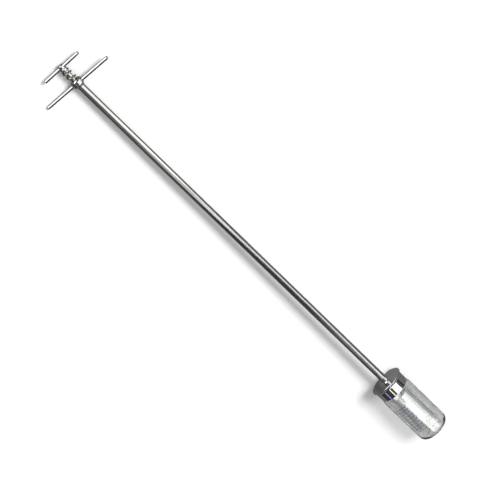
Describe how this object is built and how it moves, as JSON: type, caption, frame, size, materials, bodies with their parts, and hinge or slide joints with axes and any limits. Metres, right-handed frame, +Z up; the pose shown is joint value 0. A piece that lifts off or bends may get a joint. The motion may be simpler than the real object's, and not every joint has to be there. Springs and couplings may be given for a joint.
{
  "type": "bottle sampler",
  "caption": "Long steel dip rod with a spring-return push T bar and a fixed T grip, which opens a disc valve in the screw cap of a clear glass sample bottle.",
  "frame": {"origin": "centre of the bounding box at the surface that the sampler lies on", "axes": "+X along the rod from the handle to the bottle, level; +Y across it, along the level push bar; +Z up from the surface. The rod's own axis leans up 1.5 degrees towards the bottle"},
  "size_m": [1.0564, 0.1592, 0.0716],
  "materials": {
    "tube_steel": "drawn stainless steel tube, finely brushed along its length",
    "handle_steel": "bright drawn stainless steel bar",
    "cap_steel": "mirror-polished stainless steel",
    "spring_steel": "drawn stainless spring wire",
    "fastener_steel": "plain stainless steel",
    "ptfe": "white PTFE",
    "silicone": "grey-white silicone rubber",
    "glass": "clear borosilicate glass"
  },
  "bodies": {
    "frame": {"outer_tube": "tube_steel", "grip_collar": "tube_steel", "grip_arm_left": "handle_steel", "grip_arm_right": "handle_steel", "collar_screw": "fastener_steel", "return_spring": "spring_steel", "upper_bush": "ptfe", "rod_wiper": "silicone", "middle_guide": "ptfe", "lower_bush": "ptfe", "cap_plate": "cap_steel", "cap_ring": "cap_steel"},
    "sleeve": {"spring_sleeve": "handle_steel"},
    "plunger": {"push_bar": "handle_steel", "push_hub": "handle_steel", "hub_pin": "fastener_steel", "push_rod": "tube_steel", "valve_seal": "silicone", "valve_plate": "fastener_steel", "valve_washer": "fastener_steel", "valve_nut": "fastener_steel"},
    "gasket": {"bottle_gasket": "silicone"},
    "bottle": {"bottle": "glass"}
  },
  "joints": [
    {"name": "plunger_press", "type": "slide", "parent": "frame", "child": "sleeve", "axis": [0.9997, 0, 0.0261], "range_m": [0, 0.01], "stiffness_N_per_m": 1500, "springref_m": -0.006, "deforming": ["return_spring"]},
    {"name": "plunger_turn", "type": "hinge", "parent": "sleeve", "child": "plunger", "pos_m": [-0.52216, 0, 0.01115], "axis": [0.9997, 0, 0.0261], "continuous": true},
    {"name": "bottle_travel", "type": "slide", "parent": "frame", "child": "gasket", "axis": [0.9997, 0, 0.0261], "range_m": [0, 0.008]},
    {"name": "bottle_turn", "type": "hinge", "parent": "gasket", "child": "bottle", "pos_m": [0.38153, 0, 0.03476], "axis": [0.9997, 0, 0.0261], "range_deg": [0, 720]}
  ],
  "couplings": [
    {"joint": "bottle_travel", "follows": "bottle_turn", "m_per_rad": 0.0006366}
  ]
}
